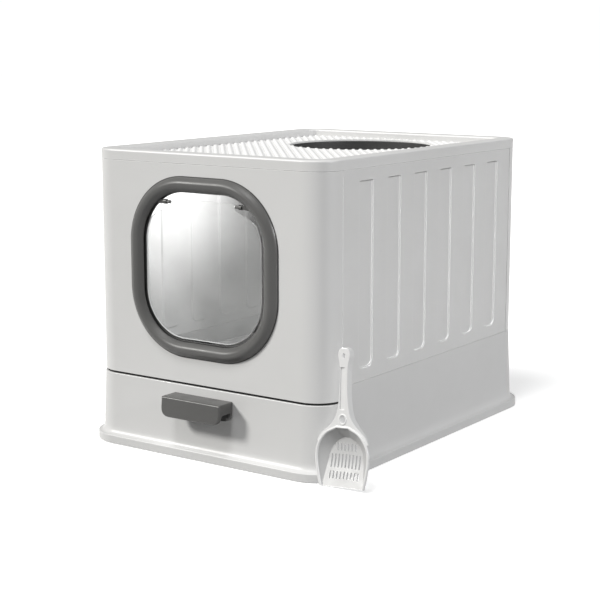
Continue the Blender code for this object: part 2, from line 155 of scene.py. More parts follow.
def plastic(name, light, dark, edge, rough=0.42, grain=900.0, depth=0.00004, relief=0.5,
            spec=0.5, fleck=0.0, edge_lift=0.5, edge_band=0.0011):
    """Moulded plastic: spark-eroded grain, slow tone drift, handling scuffs, and edges lifted towards a
    lighter tone, partly rubbed wear and partly painted highlight.
    """
    g = Graph(name)
    at = g("TexCoord").outputs["Object"]
    drift = g.span(g.noise(at, 7.0, 3.0), 0.35, 0.68)
    cloud = g.span(g.noise(at, 46.0, 3.0, 0.6), 0.30, 0.72)
    fine = g.noise(at, grain, 2.0, 0.65)
    scratch = g.noise(stretch(g, at, 34.0, 34.0, 520.0), 1.0, 4.0, 0.7)
    lines = g.span(scratch, 0.615, 0.70)
    edge_wear_and_highlight = edges(g, edge_band)
    tone = g.mix(drift, light, dark)
    grit = g.math("MULTIPLY", g.span(fine, 0.40, 0.64), fleck)
    tone = g.mix(grit, tone, dark)
    # edges lifted towards the edge tone: rubbed wear, and on the white plastic a painted highlight along the
    # flute edges
    tone = g.mix(g.math("MULTIPLY", edge_wear_and_highlight, edge_lift), tone, edge)
    g.put(g.bsdf.inputs["Base Color"], tone)
    level = g.span(cloud, 0.0, 1.0, rough - 0.05, rough + 0.06)
    level = g.math("MULTIPLY_ADD", lines, 0.07, level)
    level = g.math("MULTIPLY_ADD", edge_wear_and_highlight, -0.20, level, clamp=True)
    g.put(g.bsdf.inputs["Roughness"], level)
    g.bsdf.inputs["Specular IOR Level"].default_value = spec
    height = g.math("MULTIPLY_ADD", lines, -0.35, fine)
    height = g.math("MULTIPLY_ADD", cloud, 0.5, height)
    bump = g("Bump", {"Strength": relief, "Distance": depth, "Height": height})
    g.put(g.bsdf.inputs["Normal"], bump.outputs[0])
    return g.mat


def grey3(v, warm=0.0):
    return (v * (1 + warm), v * (1 + 0.4 * warm), v * (1 - warm), 1)


def clear_sheet(name, tint, alpha, haze_alpha, rough):
    """Clear polycarbonate: see-through, with fine scuffs and a faint moulded haze."""
    g = Graph(name)
    at = g("TexCoord").outputs["Object"]
    haze = g.noise(at, 16.0, 3.0, 0.6)
    scuff = g.noise(stretch(g, at, 160.0, 160.0, 1500.0), 1.0, 3.0, 0.7)
    lines = g.span(scuff, 0.60, 0.70)
    g.put(g.bsdf.inputs["Base Color"], g.mix(haze, tint, grey3(0.86)))
    level = g.span(haze, 0.3, 0.7, rough, rough + 0.06)
    g.put(g.bsdf.inputs["Roughness"], g.math("MULTIPLY_ADD", lines, 0.14, level))
    see = g.span(haze, 0.30, 0.70, alpha, haze_alpha)
    rim = g("LayerWeight", {"Blend": 0.32}).outputs["Fresnel"]
    see = g.math("MULTIPLY_ADD", rim, 0.35, see)
    g.put(g.bsdf.inputs["Alpha"], g.math("MULTIPLY_ADD", lines, 0.05, see, clamp=True))
    g.bsdf.inputs["IOR"].default_value = 1.58
    bump = g("Bump", {"Strength": 0.25, "Distance": 0.00003, "Height": g.noise(at, 120.0, 2.0)})
    g.put(g.bsdf.inputs["Normal"], bump.outputs[0])
    return g.mat


def metal(name, light, dark, rough):
    g = Graph(name)
    at = g("TexCoord").outputs["Object"]
    turn = g.noise(stretch(g, at, 300.0, 5000.0, 300.0), 1.0, 3.0)
    edge_wear_and_highlight = edges(g, 0.0004)
    tone = g.mix(turn, dark, light)
    g.put(g.bsdf.inputs["Base Color"], g.mix(edge_wear_and_highlight, tone, grey3(0.72)))
    g.bsdf.inputs["Metallic"].default_value = 1.0
    g.put(g.bsdf.inputs["Roughness"], g.span(turn, 0.3, 0.7, rough, rough + 0.15))
    bump = g("Bump", {"Strength": 0.4, "Distance": 0.00003, "Height": turn})
    g.put(g.bsdf.inputs["Normal"], bump.outputs[0])
    return g.mat


# The white plastic's edge tone and edge amount are set high, so its flute and seam edges carry a painted
# highlight as well as rubbed wear.
WHITE = plastic("white_plastic", grey3(0.562, 0.003), grey3(0.540, 0.004), grey3(0.76, 0.002),
                0.41, edge_lift=0.9, edge_band=0.0017)
LOWER = plastic("white_plastic_lower", grey3(0.522, 0.003), grey3(0.498, 0.004), grey3(0.62, 0.002),
                0.41, edge_lift=0.6, edge_band=0.0015)
# The deck is the same white plastic made lighter than the walls, so its top reads bright: painted light.
DECK = plastic("deck_plastic_painted_light", grey3(0.635, 0.002), grey3(0.61, 0.003), grey3(0.72, 0.002),
               0.66, relief=0.7, spec=0.18)
BASE = plastic("base_plastic", grey3(0.525, 0.002), grey3(0.500, 0.002), grey3(0.62, 0.002), 0.47)
TRAY = plastic("tray_plastic", grey3(0.70, 0.006), grey3(0.66, 0.006), grey3(0.76, 0.004), 0.36)
BRIGHT = plastic("scoop_plastic", grey3(0.575, 0.001), grey3(0.55, 0.001), grey3(0.76, 0.001),
                 0.34, relief=0.3)
# The scoop's own plastic made darker on the basket than on the stem: painted shade.
PAN = plastic("scoop_plastic_pan_painted_shade", grey3(0.375, 0.001), grey3(0.36, 0.001), grey3(0.52, 0.001),
              0.44, relief=0.3)
DARK = plastic("grey_plastic", grey3(0.066, 0.018), grey3(0.058, 0.020), grey3(0.16, 0.014), 0.36,
               relief=0.5, fleck=0.35, edge_lift=0.7, spec=0.36)
# The same grey plastic as the grip, made lighter for the door surround: painted light.
RING = plastic("grey_plastic_ring_painted_light", grey3(0.086, 0.014), grey3(0.076, 0.016), grey3(0.13, 0.012), 0.40,
               relief=0.5, fleck=0.35, edge_lift=0.5, spec=0.30)
# Darker copy of the grey plastic for the exit collar and the door's backing ring, which sit in shade inside
# the openings: the extra darkness is painted shade.
DARK_IN = plastic("grey_plastic_inner_painted_shade", grey3(0.036, 0.010), grey3(0.031, 0.010), grey3(0.07, 0.01), 0.55,
                  relief=0.6, fleck=0.3)
# Near-black grey put where there is only shade: inside the grip's hollow, on the hood's lip behind the drawer
# gap, and as a band round the door surround.
PAINTED_SHADE = plastic("painted_shade_grey", grey3(0.034, 0.010), grey3(0.028, 0.010), grey3(0.07, 0.01), 0.60,
                    relief=0.6, fleck=0.3, spec=0.2)
CLEAR = clear_sheet("clear_sheet", (0.93, 0.96, 0.97, 1), 0.08, 0.16, 0.05)
# Whiter, less see-through copy of the clear sheet for the flap's edge faces: painted highlight.
CLEAR_EDGE = clear_sheet("clear_sheet_edge_painted_highlight", (0.97, 0.985, 0.99, 1), 0.55, 0.70, 0.18)
STEEL = metal("screw_steel", (0.62, 0.62, 0.63, 1), (0.42, 0.42, 0.43, 1), 0.24)


# ---- mesh kit ---------------------------------------------------------------------------------
def build(name, solids, body, mats, nodes, sharp=38.0, weld=1e-7):
    """One piece from a list of (vertices, faces) solids; face tuples may carry a material index."""
    bm = bmesh.new()
    for solid in solids:
        verts, faces = solid[0], solid[1]
        marks = solid[2] if len(solid) > 2 else None
        made = [bm.verts.new(v) for v in verts]
        for k, face in enumerate(faces):
            try:
                f = bm.faces.new([made[i] for i in face])
            except ValueError:
                continue
            if marks:
                f.material_index = marks[k]
    bmesh.ops.remove_doubles(bm, verts=bm.verts, dist=weld)
    bmesh.ops.recalc_face_normals(bm, faces=bm.faces)
    mesh = bpy.data.meshes.new(name)
    bm.to_mesh(mesh)
    bm.free()
    ob = bpy.data.objects.new(name, mesh)
    bpy.context.scene.collection.objects.link(ob)
    for mat in mats:
        mesh.materials.append(mat)
    finish_piece(ob, body, nodes, sharp)
    return ob


def finish_piece(ob, body, nodes, sharp=38.0):
    mesh = ob.data
    mesh.polygons.foreach_set("use_smooth", [True] * len(mesh.polygons))
    mesh.set_sharp_from_angle(angle=math.radians(sharp))
    ob.modifiers.new("even_normals", "WEIGHTED_NORMAL").keep_sharp = True
    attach(ob, body)
    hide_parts(*nodes)


def soft(points, k=4):
    """A closed outline whose (x, y, r) corners are rounded over r along each side."""
    out, n = [], len(points)
    for i, (x, y, r) in enumerate(points):
        p = Vector((x, y))
        a, b = Vector(points[i - 1][:2]) - p, Vector(points[(i + 1) % n][:2]) - p
        t = min(r, 0.49 * a.length, 0.49 * b.length)
        if t < 1e-6:
            out.append((x, y))
            continue
        s, e = p + a.normalized() * t, p + b.normalized() * t
        for j in range(k + 1):
            w = j / k
            q = s * (1 - w) ** 2 + p * (2 * w * (1 - w)) + e * w * w
            out.append((q.x, q.y))
    return out


def turn_of(loop):
    return sum(loop[i - 1][0] * p[1] - p[0] * loop[i - 1][1] for i, p in enumerate(loop))


def inset(loop, d):
    """A closed 2-D outline moved inward by d."""
    side = 1 if turn_of(loop) > 0 else -1
    out, n = [], len(loop)
    for i, p in enumerate(loop):
        a, b = loop[i - 1], loop[(i + 1) % n]
        u = Vector((p[0] - a[0], p[1] - a[1])).normalized()
        v = Vector((b[0] - p[0], b[1] - p[1])).normalized()
        m = Vector((-(u.y + v.y), u.x + v.x)) * side
        m = m.normalized() if m.length > 1e-9 else Vector((-u.y, u.x)) * side
        k = max(0.35, m.dot(Vector((-u.y, u.x)) * side))
        out.append((p[0] + m.x * d / k, p[1] + m.y * d / k))
    return out


def loft(loops, closed=False, caps=True):
    n, m = len(loops[0]), len(loops)
    verts = [p for loop in loops for p in loop]
    faces = []
    for k in range(m if closed else m - 1):
        a, b = k * n, ((k + 1) % m) * n
        faces += [(a + i, a + (i + 1) % n, b + (i + 1) % n, b + i) for i in range(n)]
    if not closed and caps:
        faces.append(tuple(range(n)))
        faces.append(tuple((m - 1) * n + i for i in reversed(range(n))))
    return verts, faces


def lay(axis):
    return {"x": lambda p, t: (t, p[0], p[1]), "y": lambda p, t: (p[0], t, p[1]),
            "z": lambda p, t: (p[0], p[1], t)}[axis]


def plate(outline, axis, a, b, edge=0.0005):
    """An extruded outline with rolled edges."""
    put, e = lay(axis), edge
    a, b = min(a, b), max(a, b)
    steps = [(e, 0.0), (0.3 * e, 0.3 * e), (0.0, e)]
    loops = [[put(p, a + t) for p in inset(outline, d)] for d, t in steps]
    loops += [[put(p, b - t) for p in inset(outline, d)] for d, t in reversed(steps)]
    return loft(loops)


def arc(cx, cy, r, a0, a1, n):
    return [(cx + r * math.cos(math.radians(a0 + (a1 - a0) * i / n)),
             cy + r * math.sin(math.radians(a0 + (a1 - a0) * i / n))) for i in range(n + 1)]


def rounded(hw, hh, r, n=12):
    pts = []
    for k, (sx, sy) in enumerate(((1, -1), (1, 1), (-1, 1), (-1, -1))):
        pts += arc(sx * (hw - r), sy * (hh - r), r, 90 * k - 90, 90 * k, n)
    return pts


def plan_path(end_y, front, n=16):
    """Points and outward normals round the front or rear of the body, from seam to seam."""
    s = -1 if front else 1
    cx, cy = HALF_W - CORNER_R, s * (HALF_D - CORNER_R)
    path = [((HALF_W, end_y), (1.0, 0.0))]
    for x0, a0 in ((cx, 0), (-cx, 90)):
        for i in range(n + 1):
            a = math.radians(s * (a0 + 90 * i / n))
            c, d = math.cos(a), math.sin(a)
            path.append(((x0 + CORNER_R * c, cy + CORNER_R * d), (c, d)))
    path.append(((-HALF_W, end_y), (-1.0, 0.0)))
    return path


def swept(path, profile, closed=False, end=0.00020):
    """Sweep an (offset, z) profile along a path; open ends are rolled over by end."""
    def loop(p, d, prof):
        return [(p[0] + d[0] * o, p[1] + d[1] * o, z) for o, z in prof]
    loops = [loop(p, d, profile) for p, d in path]
    if closed:
        return loft(loops, closed=True)
    for k in (0, -1):
        p, d = path[k]
        q = path[1] if k == 0 else path[-2]
        way = (Vector(q[0]) - Vector(p)).normalized()
        ring = [loop(Vector(p) + way * end * t, d, inset(profile, end * s))
                for t, s in ((0.0, 1.0), (0.3, 0.3), (1.0, 0.0))]
        loops = ring + loops[1:] if k == 0 else loops[:-1] + ring[::-1]
    return loft(loops)


def turned(profile, cx, cy, n=96):
    loops = []
    for i in range(n):
        a = 2 * math.pi * i / n
        loops.append([(cx + r * math.cos(a), cy + r * math.sin(a), z) for r, z in profile])
    return loft(loops, closed=True)


def spun(profile, cy, cz, n=32):
    """Turn a closed (radius, x) profile round a line along x."""
    loops = []
    for i in range(n):
        a = 2 * math.pi * i / n
        loops.append([(x, cy + r * math.cos(a), cz + r * math.sin(a)) for r, x in profile])
    return loft(loops, closed=True)


def sheet_with_holes(outline, holes, put):
    """Triangles that fill an outline apart from its holes, all in one plane."""
    pts, edges_in = [], []
    for loop in [outline] + holes:
        n = len(pts)
        pts += [Vector(p) for p in loop]
        edges_in += [(n + i, n + (i + 1) % len(loop)) for i in range(len(loop))]
    rings, n = [], len(outline)
    for loop in holes:
        rings.append(set(range(n, n + len(loop))))
        n += len(loop)
    out_v, _, out_f, orig, _, _ = delaunay_2d_cdt(pts, edges_in, [], 0, 1e-8)
    owner = {}
    for k, ring in enumerate(rings):
        for i in ring:
            owner[i] = k
    back = [min(o) if o else -1 for o in orig]
    border = set(range(len(outline)))
    faces = []
    for f in out_f:
        ids = [back[i] for i in f]
        ks = {owner.get(i, -1) for i in ids}
        if len(ks) == 1 and -1 not in ks:
            mid = sum((out_v[i] for i in f), Vector((0, 0))) / 3
            if inside(mid, holes[ks.pop()]):
                continue
        elif all(i in border for i in ids):
            mid = sum((out_v[i] for i in f), Vector((0, 0))) / 3
            if not inside(mid, outline):
                continue
        faces.append(tuple(f))
    return [put((p.x, p.y)) for p in out_v], faces


def inside(p, loop):
    hit = False
    for i, q in enumerate(loop):
        r = loop[i - 1]
        if (q[1] > p[1]) != (r[1] > p[1]) and p[0] < (r[0] - q[0]) * (p[1] - q[1]) / (r[1] - q[1]) + q[0]:
            hit = not hit
    return hit


def boolean(ob, solid, mode):
    mesh = bpy.data.meshes.new("tool")
    mesh.from_pydata([Vector(v) for v in solid[0]], [], solid[1])
    bm = bmesh.new()
    bm.from_mesh(mesh)
    bmesh.ops.recalc_face_normals(bm, faces=bm.faces)
    bm.to_mesh(mesh)
    bm.free()
    tool = bpy.data.objects.new("tool", mesh)
    bpy.context.scene.collection.objects.link(tool)
    mod = ob.modifiers.new("cut", "BOOLEAN")
    mod.operation, mod.solver, mod.object = mode, "EXACT", tool
    bake(ob)
    bpy.data.objects.remove(tool, do_unlink=True)


def bake(ob):
    """Apply every modifier of a piece to its mesh."""
    bpy.context.view_layer.update()
    graph = bpy.context.evaluated_depsgraph_get()
    mesh = bpy.data.meshes.new_from_object(ob.evaluated_get(graph))
    old = ob.data
    ob.modifiers.clear()
    ob.data = mesh
    bpy.data.meshes.remove(old)


def bare(name, verts, faces, mat):
    mesh = bpy.data.meshes.new(name)
    mesh.from_pydata([Vector(v) for v in verts], [], faces)
    bm = bmesh.new()
    bm.from_mesh(mesh)
    bmesh.ops.remove_doubles(bm, verts=bm.verts, dist=1e-7)
    bmesh.ops.recalc_face_normals(bm, faces=bm.faces)
    bm.to_mesh(mesh)
    bm.free()
    ob = bpy.data.objects.new(name, mesh)
    bpy.context.scene.collection.objects.link(ob)
    ob.data.materials.append(mat)
    return ob


def ease_edges(ob, width, angle, segments=2):
    mod = ob.modifiers.new("ease", "BEVEL")
    mod.width, mod.segments, mod.limit_method = width, segments, "ANGLE"
    mod.angle_limit = math.radians(angle)
    bake(ob)


def merge_slivers(ob):
    """Merge points that nearly coincide, which leaves no sliver faces where cuts meet a bevel."""
    bm = bmesh.new()
    bm.from_mesh(ob.data)
    bmesh.ops.remove_doubles(bm, verts=bm.verts, dist=WELD_GAP)
    bmesh.ops.dissolve_degenerate(bm, edges=bm.edges, dist=SLIVER)
    bm.to_mesh(ob.data)
    bm.free()


def absorb(ob, other):
    """Join a closed solid to a piece as a further shell, with its own material."""
    mats = ob.data.materials
    mat = other.data.materials[0]
    if mat.name not in mats:
        mats.append(mat)
    slot = mats.find(mat.name)
    for f in other.data.polygons:
        f.material_index = slot
    bm = bmesh.new()
    bm.from_mesh(ob.data)
    bm.from_mesh(other.data)
    bm.to_mesh(ob.data)
    bm.free()
    bpy.data.objects.remove(other, do_unlink=True)


# ---- base and drawer --------------------------------------------------------------------------
def lower_wall(z0, z_top, lip):
    """Flared lower wall with a hollowed fillet above the foot flange, as (offset, z, radius)."""
    k = FLARE / (BEND_Z - 0.016)
    foot = soft([(FOOT_OUT, z0, 0.0009), (FOOT_OUT, FOOT_H, 0.0009),
                 (FOOT_OUT - 0.003, FOOT_H + 0.0004, 0.0)], 6)
    a, b = Vector((FOOT_OUT - 0.0012, FOOT_H + 0.0001)), Vector((FLARE * 0.94, FOOT_H + 0.0105))
    c = Vector((FLARE + 0.0001, FOOT_H + 0.0008))
    hollow = [a * (1 - t) ** 2 + c * (2 * t * (1 - t)) + b * t * t for t in (i / 9 for i in range(10))]
    wall = soft([(b.x, b.y, 0.0), ((BEND_Z - z_top) * k, z_top, lip), (-WALL, z_top, 0.0009),
                 (-WALL, z0, 0.0009), (FOOT_OUT, z0, 0.0009)], 6)
    return foot[:-1] + [tuple(p) for p in hollow] + wall[1:-7]


def base_tub():
    wall = swept(plan_path(-SEAM_Y, False), lower_wall(base_lo.z, BEND_Z, 0.0010))
    x, y1, rf = HALF_W - 0.001, HALF_D - 0.001, CORNER_R - WALL - 0.001
    cx, cy = HALF_W - CORNER_R, HALF_D - CORNER_R
    floor = arc(-cx, -cy, rf, 180, 270, 12) + arc(cx, -cy, rf, 270, 360, 12)
    floor += [(x, -SEAM_Y)] + arc(x - 0.034, y1 - 0.034, 0.034, 0, 90, 12)
    floor += arc(-x + 0.034, y1 - 0.034, 0.034, 90, 180, 12) + [(-x, -SEAM_Y)]
    build("base_shell", [wall, plate(floor, "z", base_lo.z, base_lo.z + 0.003, 0.0006)], "cabinet",
          [BASE], ["base_tub"])


def runners():
    for side in ("left", "right"):
        lo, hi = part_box("runner_" + side)
        cx, half = (lo.x + hi.x) / 2, (hi.x - lo.x) / 2
        outline = soft([(cx - half, lo.z, 0.0009), (cx + half, lo.z, 0.0009), (cx + half, hi.z, 0.0016),
                        (cx - half, hi.z, 0.0016)], 4)
        bar = plate(outline, "y", lo.y, hi.y, 0.0004)
        build("runner_rail_" + side, [bar], "cabinet", [BASE], ["runner_" + side])


def tray():
    t, r, e = 0.0026, 0.022, 0.0006
    cx, cy = 0.0, (tray_lo.y + tray_hi.y) / 2
    hw, hd = 0.163, (tray_hi.y - tray_lo.y) / 2 - 0.0026
    z0, z1 = tray_lo.z, tray_hi.z
    steps = [(-0.0058, z0), (-0.0036, z0 + 0.0006), (-0.0014, z0 + 0.0026), (0.0, z1 - 0.0046),
             (0.0003, z1 - 0.0041), (0.0020, z1 - 0.0040), (0.0026, z1 - 0.0034), (0.0026, z1 - e),
             (0.0020, z1), (-t + e, z1), (-t, z1 - e), (-t - 0.0008, z0 + 0.0090),
             (-t - 0.0020, z0 + 0.0048), (-t - 0.0046, z0 + 0.0031)]
    loops = [[(x + cx, y + cy, z) for x, y in rounded(hw + d, hd + d, r + d, 10)] for d, z in steps]
    build("litter_tray", [loft(loops)], "drawer", [TRAY], ["drawer_tray"])


def drawer_shell():
    profile = lower_wall(front_lo.z, front_hi.z, 0.0010)
    wall = swept(plan_path(front_hi.y, True), profile)
    build("drawer_shell", [wall], "drawer", [LOWER], ["drawer_front"])


def front_y(z):
    return -HALF_D - FLARE * (BEND_Z - z) / (BEND_Z - 0.0168)


def handle():
    """Hooded bar: top, lip and ends round a finger hollow that is open below."""
    w, top, z0, y1, t = grip_hi.x, grip_hi.z, grip_lo.z, grip_lo.y, 0.0032

    def face(half, z_top, z_low, r, r_top):
        return soft([(half, z_top, r_top), (-half, z_top, r_top), (-half, z_low, r), (half, z_low, r)], 6)

    def lip(pts, back):
        return [(x, y1 + back + (z - z0) * 0.1, z) for x, z in pts]

    def rear(pts, out):
        return [(x, front_y(z) - GAP - out, z) for x, z in pts]
    full = face(w, top, z0, 0.012, 0.0016)
    roll = 0.0020
    loops = [rear(full, 0.0)]
    for a in (0, 22.5, 45, 67.5, 90):
        c, s = math.cos(math.radians(a)), math.sin(math.radians(a))
        loops.append(lip(inset(full, roll * (1 - c)), roll * (1 - s)))
    ob = bare("drawer_grip", *loft(loops), DARK)
    cut = face(w - t, top - t, z0 - 0.02, 0.008, 0.004)
    boolean(ob, loft([rear(cut, t), lip(cut, t)]), "DIFFERENCE")
    back, low = front_y(z0) - GAP - t + 0.0002, z0 - 0.01
    for s in (-1, 1):
        notch = soft([(y1 + 0.0060, low, 0.0), (y1 + 0.0060, z0 + 0.0118, 0.0045), (back, z0 + 0.0122, 0.0),
                      (back, low, 0.0)], 5)
        a, b = sorted((s * (w - t - 0.0040), s * (w + 0.01)))
        boolean(ob, loft([[(x, q[0], q[1]) for q in notch] for x in (a, b)]), "DIFFERENCE")
    ease_edges(ob, 0.0006, 50)
    # The hollow's inner walls and back plate take the near-black grey: painted shade.
    ob.data.materials.append(PAINTED_SHADE)
    for f in ob.data.polygons:
        c = f.center
        if abs(c.x) >= w - t + 1e-4 or c.z >= top - t + 1e-4:
            continue
        wall_face = y1 + t * 0.9 < c.y < back + 1e-4 and f.normal.y > -0.9
        rear_face = abs(c.y - back) < 0.004 and f.normal.y < -0.9
        if wall_face or rear_face:
            f.material_index = 1
    merge_slivers(ob)
    finish_piece(ob, "drawer", ["drawer_handle"], 50)


def screws():
    for side in ("left", "right"):
        lo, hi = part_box("handle_screw_" + side)
        x, z, y, r = (lo.x + hi.x) / 2, (lo.z + hi.z) / 2, lo.y, (hi.x - lo.x) / 2
        rings = [(r - 0.0002, y), (r, y + 0.0003), (r, y + 0.0010), (r * 0.93, y + 0.0014),
                 (r * 0.72, y + 0.0019), (r * 0.45, y + 0.0022), (0.0011, y + 0.0022)]
        loops = [[(x + q * math.cos(math.pi * i / 16), yy, z + q * math.sin(math.pi * i / 16))
                  for i in range(32)] for q, yy in rings]
        cross = []
        for yy in (y + 0.0022, y + 0.0011):
            ring = []
            for i in range(32):
                a = math.pi * i / 16
                near = min(abs(math.cos(a)), abs(math.sin(a)))
                ring.append((x + (0.0011 - 0.0011 * near) * math.cos(a), yy,
                             z + (0.0011 - 0.0011 * near) * math.sin(a)))
            cross.append(ring)
        build("grip_screw_" + side, [loft(loops + cross)], "drawer", [STEEL],
              ["handle_screw_" + side], 30)


# ---- hood -------------------------------------------------------------------------------------
def wall_profile(z0, z1):
    return soft([(0.0, z0, 0.0007), (0.0, z1, 0.0002), (-WALL, z1, 0.0004), (-WALL, z0, 0.0009)], 4)


def hood_front():
    """Front wall and both corners; the door hole is cut in the flat part."""
    profile = wall_profile(hood_lo.z, hood_hi.z)
    path = plan_path(hood_hi.y, True)
    verts, faces = swept(path, profile)
    flat = {}
    cx = HALF_W - CORNER_R
    keep = []
    for f in faces:
        xs = sorted({round(verts[i][0], 5) for i in f})
        tall = max(verts[i][2] for i in f) - min(verts[i][2] for i in f) > 0.1
        if len(f) == 4 and tall and xs[0] < -cx + 1e-4 and xs[-1] > cx - 1e-4 and len(xs) == 2:
            flat[round(verts[f[0]][1], 5)] = [verts[i] for i in f]
            continue
        keep.append(f)
    hole = [(x, z + DOOR_Z) for x, z in rounded(0.0985, 0.0985, 0.0685, 16)]
    solids = [(verts, keep)]
    ys = sorted(flat)
    for y in ys:
        quad = flat[y]
        solids.append(sheet_with_holes([(q[0], q[2]) for q in quad], [hole],
                                       lambda p, y=quad[0][1]: (p[0], y, p[1])))
    ya, yb = flat[ys[0]][0][1], flat[ys[1]][0][1]
    solids.append(loft([[(x, y, z) for x, z in hole] for y in (ya, yb)], caps=False))
    z = hood_lo.z
    lip = soft([(-WALL + 0.0002, z + 0.0060, 0.0006), (-WALL - 0.0012, z + 0.0030, 0.0006),
                (-WALL - 0.0012, z - LIP_DROP, 0.0005), (-WALL - 0.0004, z - LIP_DROP, 0.0005),
                (-WALL - 0.0004, z + 0.0008, 0.0003), (-WALL + 0.0002, z + 0.0012, 0.0003)], 3)
    v, f = swept(path, lip)
    # The lip takes the near-black grey, a painted shade that makes the gap above the drawer read dark.
    solids.append((v, f, [1] * len(f)))
    build("hood_front_shell", solids, "cabinet", [WHITE, PAINTED_SHADE],
          ["hood_front"], weld=1e-6)


def hood_rear():
    wall = swept(plan_path(rear_lo.y, False), wall_profile(rear_lo.z, rear_hi.z))
    build("hood_rear_shell", [wall], "cabinet", [WHITE], ["hood_rear"])


def flute_outline(yc, grow):
    """Pocket outline in (y, z): nearly square shoulders above, rounded corners below."""
    h, r = 0.015 + grow, 0.0085 + grow
    z0, z1 = 0.125 - grow, 0.350 + grow
    rt = max(0.0012, 0.0022 + grow)
    return (arc(yc - h + r, z0 + r, r, 180, 270, 7) + arc(yc + h - r, z0 + r, r, 270, 360, 7) +
            arc(yc + h - rt, z1 - rt, rt, 0, 90, 4) + arc(yc - h + rt, z1 - rt, rt, 90, 180, 4))


def side_wall(name, s, node):
    """Side wall with six flutes pressed inward, their edges rolled on both faces."""
    lo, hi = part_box(node)
    x0 = HALF_W
    pitch = 0.0626
    mids = [(i - 2.5) * pitch for i in range(6)]
    rim = [(hi.y, lo.z), (hi.y, hi.z), (lo.y, hi.z), (lo.y, lo.z)]
    steps = [(0.0002, 0.0), (0.00006, 0.00006), (0.0, 0.0002), (0.0, WALL - 0.0006), (0.0002, WALL - 0.0002),
             (0.0006, WALL)]
    loops = [[(s * (x0 - d), p[0], p[1]) for p in inset(rim, e)] for e, d in steps]
    solids = [loft(loops, caps=False)]
    outer = [(0.00085, 0.0), (0.00060, 0.00005), (0.00035, 0.00020), (0.00018, 0.00048), (0.00008, 0.00090),
             (-0.00012, 0.00190), (-0.00020, 0.00220), (-0.00040, 0.00244), (-0.00080, 0.00250)]
    inner = [(0.0040, WALL), (0.0034, WALL + 0.0001), (0.0029, WALL + 0.0005), (0.0026, WALL + 0.0011),
             (0.0022, WALL + 0.0019), (0.0018, WALL + 0.0025), (0.0013, WALL + 0.0029),
             (0.0007, WALL + 0.0030)]
    for steps_in in (outer, inner):
        face = inset(rim, 0.0002 if steps_in is outer else 0.0006)
        first = steps_in[0]
        holes = [flute_outline(m, first[0]) for m in mids]
        solids.append(sheet_with_holes(face, holes, lambda p, d=first[1]: (s * (x0 - d), p[0], p[1])))
        for m in mids:
            rings = [[(s * (x0 - d), p[0], p[1]) for p in flute_outline(m, g)] for g, d in steps_in]
            v, f = loft(rings, caps=False)
            n = len(rings[0])
            f.append(tuple((len(rings) - 1) * n + i for i in range(n)))
            solids.append((v, f))
    build(name, solids, "cabinet", [WHITE], [node], sharp=60, weld=1e-6)


def clips():
    for fy in ("front", "rear"):
        for side in ("left", "right"):
            node = "clip_" + fy + "_" + side
            lo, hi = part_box(node)
            outline = soft([(lo.y, lo.z, 0.002), (hi.y, lo.z, 0.002), (hi.y, hi.z, 0.002),
                            (lo.y, hi.z, 0.002)], 5)
            strap = plate(outline, "x", lo.x, hi.x, 0.0006)
            ribs = []
            mid = (lo.x + hi.x) / 2
            out = lo.x if abs(lo.x) < abs(hi.x) else hi.x
            for z in (lo.z + 0.012, (lo.z + hi.z) / 2, hi.z - 0.012):
                rib = soft([(lo.y + 0.002, z - 0.002, 0.001), (hi.y - 0.002, z - 0.002, 0.001),
                            (hi.y - 0.002, z + 0.002, 0.001), (lo.y + 0.002, z + 0.002, 0.001)], 4)
                ribs.append(plate(rib, "x", mid, out + math.copysign(0.0008, out - mid), 0.0004))
            build("seam_strap_" + fy + "_" + side, [strap] + ribs, "cabinet", [BASE], [node])


# ---- top --------------------------------------------------------------------------------------
def top_rim():
    s, z = top_lo.z + 0.0113, top_hi.z
    rim = 0.023
    profile = soft([(0.0002, s, 0.0001), (0.0002, z, 0.0028), (-rim, z, 0.0030), (-rim, 0.3660, 0.0010),
                    (-0.0300, 0.3660, 0.0003), (-0.0300, 0.3630, 0.0006), (-0.0057, 0.3630, 0.0006),
                    (-0.0057, 0.3540, 0.0008), (-0.0031, 0.3540, 0.0008), (-0.0031, s, 0.0003)], 6)
    path = plan_path(0.0, False)[1:-1] + list(reversed(plan_path(0.0, True)))[1:-1]
    build("top_rim", [swept(path, profile, closed=True)], "cover", [WHITE], ["top_cover"])


